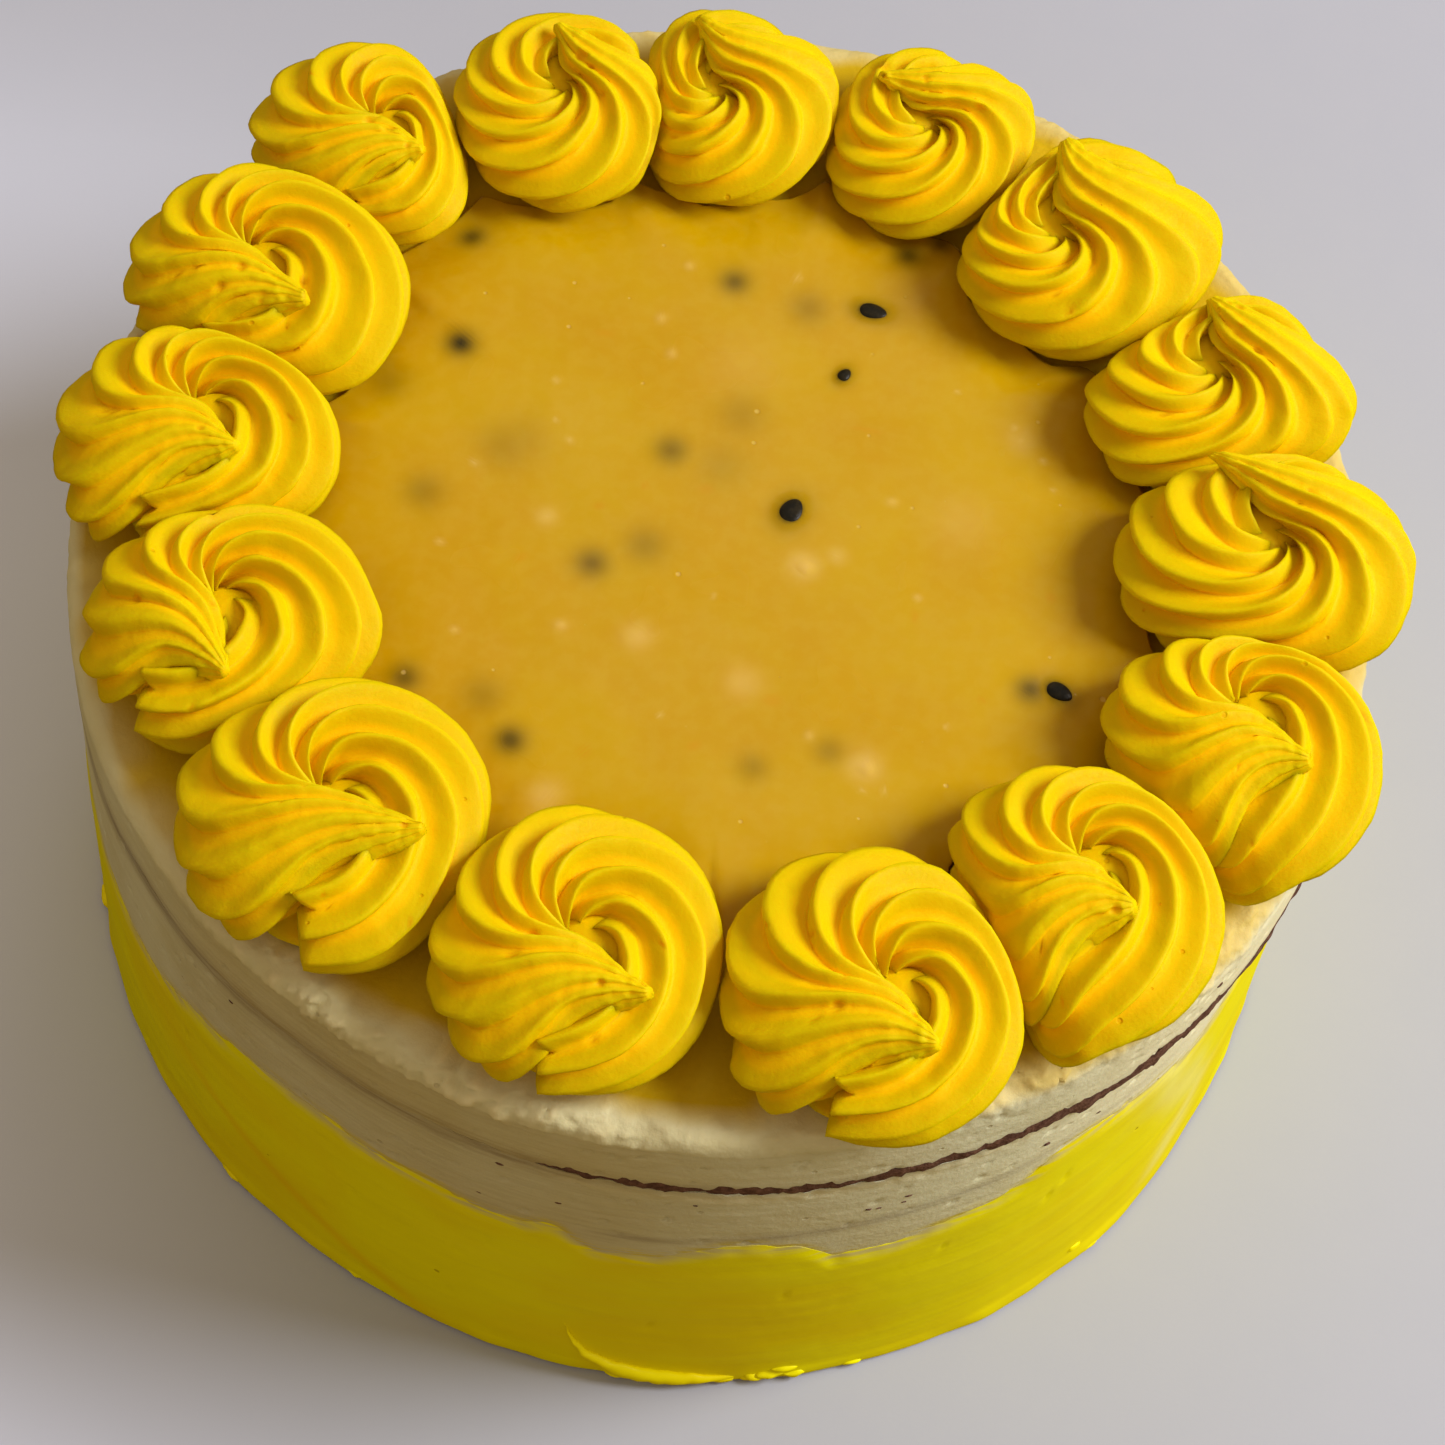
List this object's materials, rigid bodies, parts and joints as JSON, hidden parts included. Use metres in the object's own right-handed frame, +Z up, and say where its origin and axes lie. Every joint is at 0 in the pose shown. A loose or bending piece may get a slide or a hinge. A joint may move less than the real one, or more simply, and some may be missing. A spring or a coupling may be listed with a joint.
{
  "type": "passion fruit cake",
  "caption": "Round layer cake with cream icing, a yellow coat round the lower wall, a glossy pool of fruit curd with seeds and a ring of piped rosettes round the rim.",
  "frame": {"origin": "middle of the flat round underside of the cake", "axes": "+Z is up, from the underside to the piped rosettes; -Y is the front that the picture looks at; +X is to the right in the picture"},
  "size_m": [0.2051, 0.2011, 0.1129],
  "materials": {
    "cream_icing": "smooth scraped cream icing, soft sheen",
    "dark_sponge": "dark crumbly line, matt",
    "yellow_icing": "scraped lemon yellow icing with level streaks, soft sheen",
    "fruit_curd": "cloudy golden curd with a wet gloss and dark seeds",
    "piped_icing": "bright yellow piped icing, deeper orange in the creases"
  },
  "bodies": {
    "root": {"cake_body": "cream_icing", "dark_layer": "dark_sponge", "cream_top": "cream_icing", "yellow_coat": "yellow_icing", "passion_curd": "fruit_curd", "swirl_01": "piped_icing", "swirl_02": "piped_icing", "swirl_03": "piped_icing", "swirl_04": "piped_icing", "swirl_05": "piped_icing", "swirl_06": "piped_icing", "swirl_07": "piped_icing", "swirl_08": "piped_icing", "swirl_09": "piped_icing", "swirl_10": "piped_icing", "swirl_11": "piped_icing", "swirl_12": "piped_icing", "swirl_13": "piped_icing", "swirl_14": "piped_icing", "swirl_15": "piped_icing"}
  },
  "joints": []
}
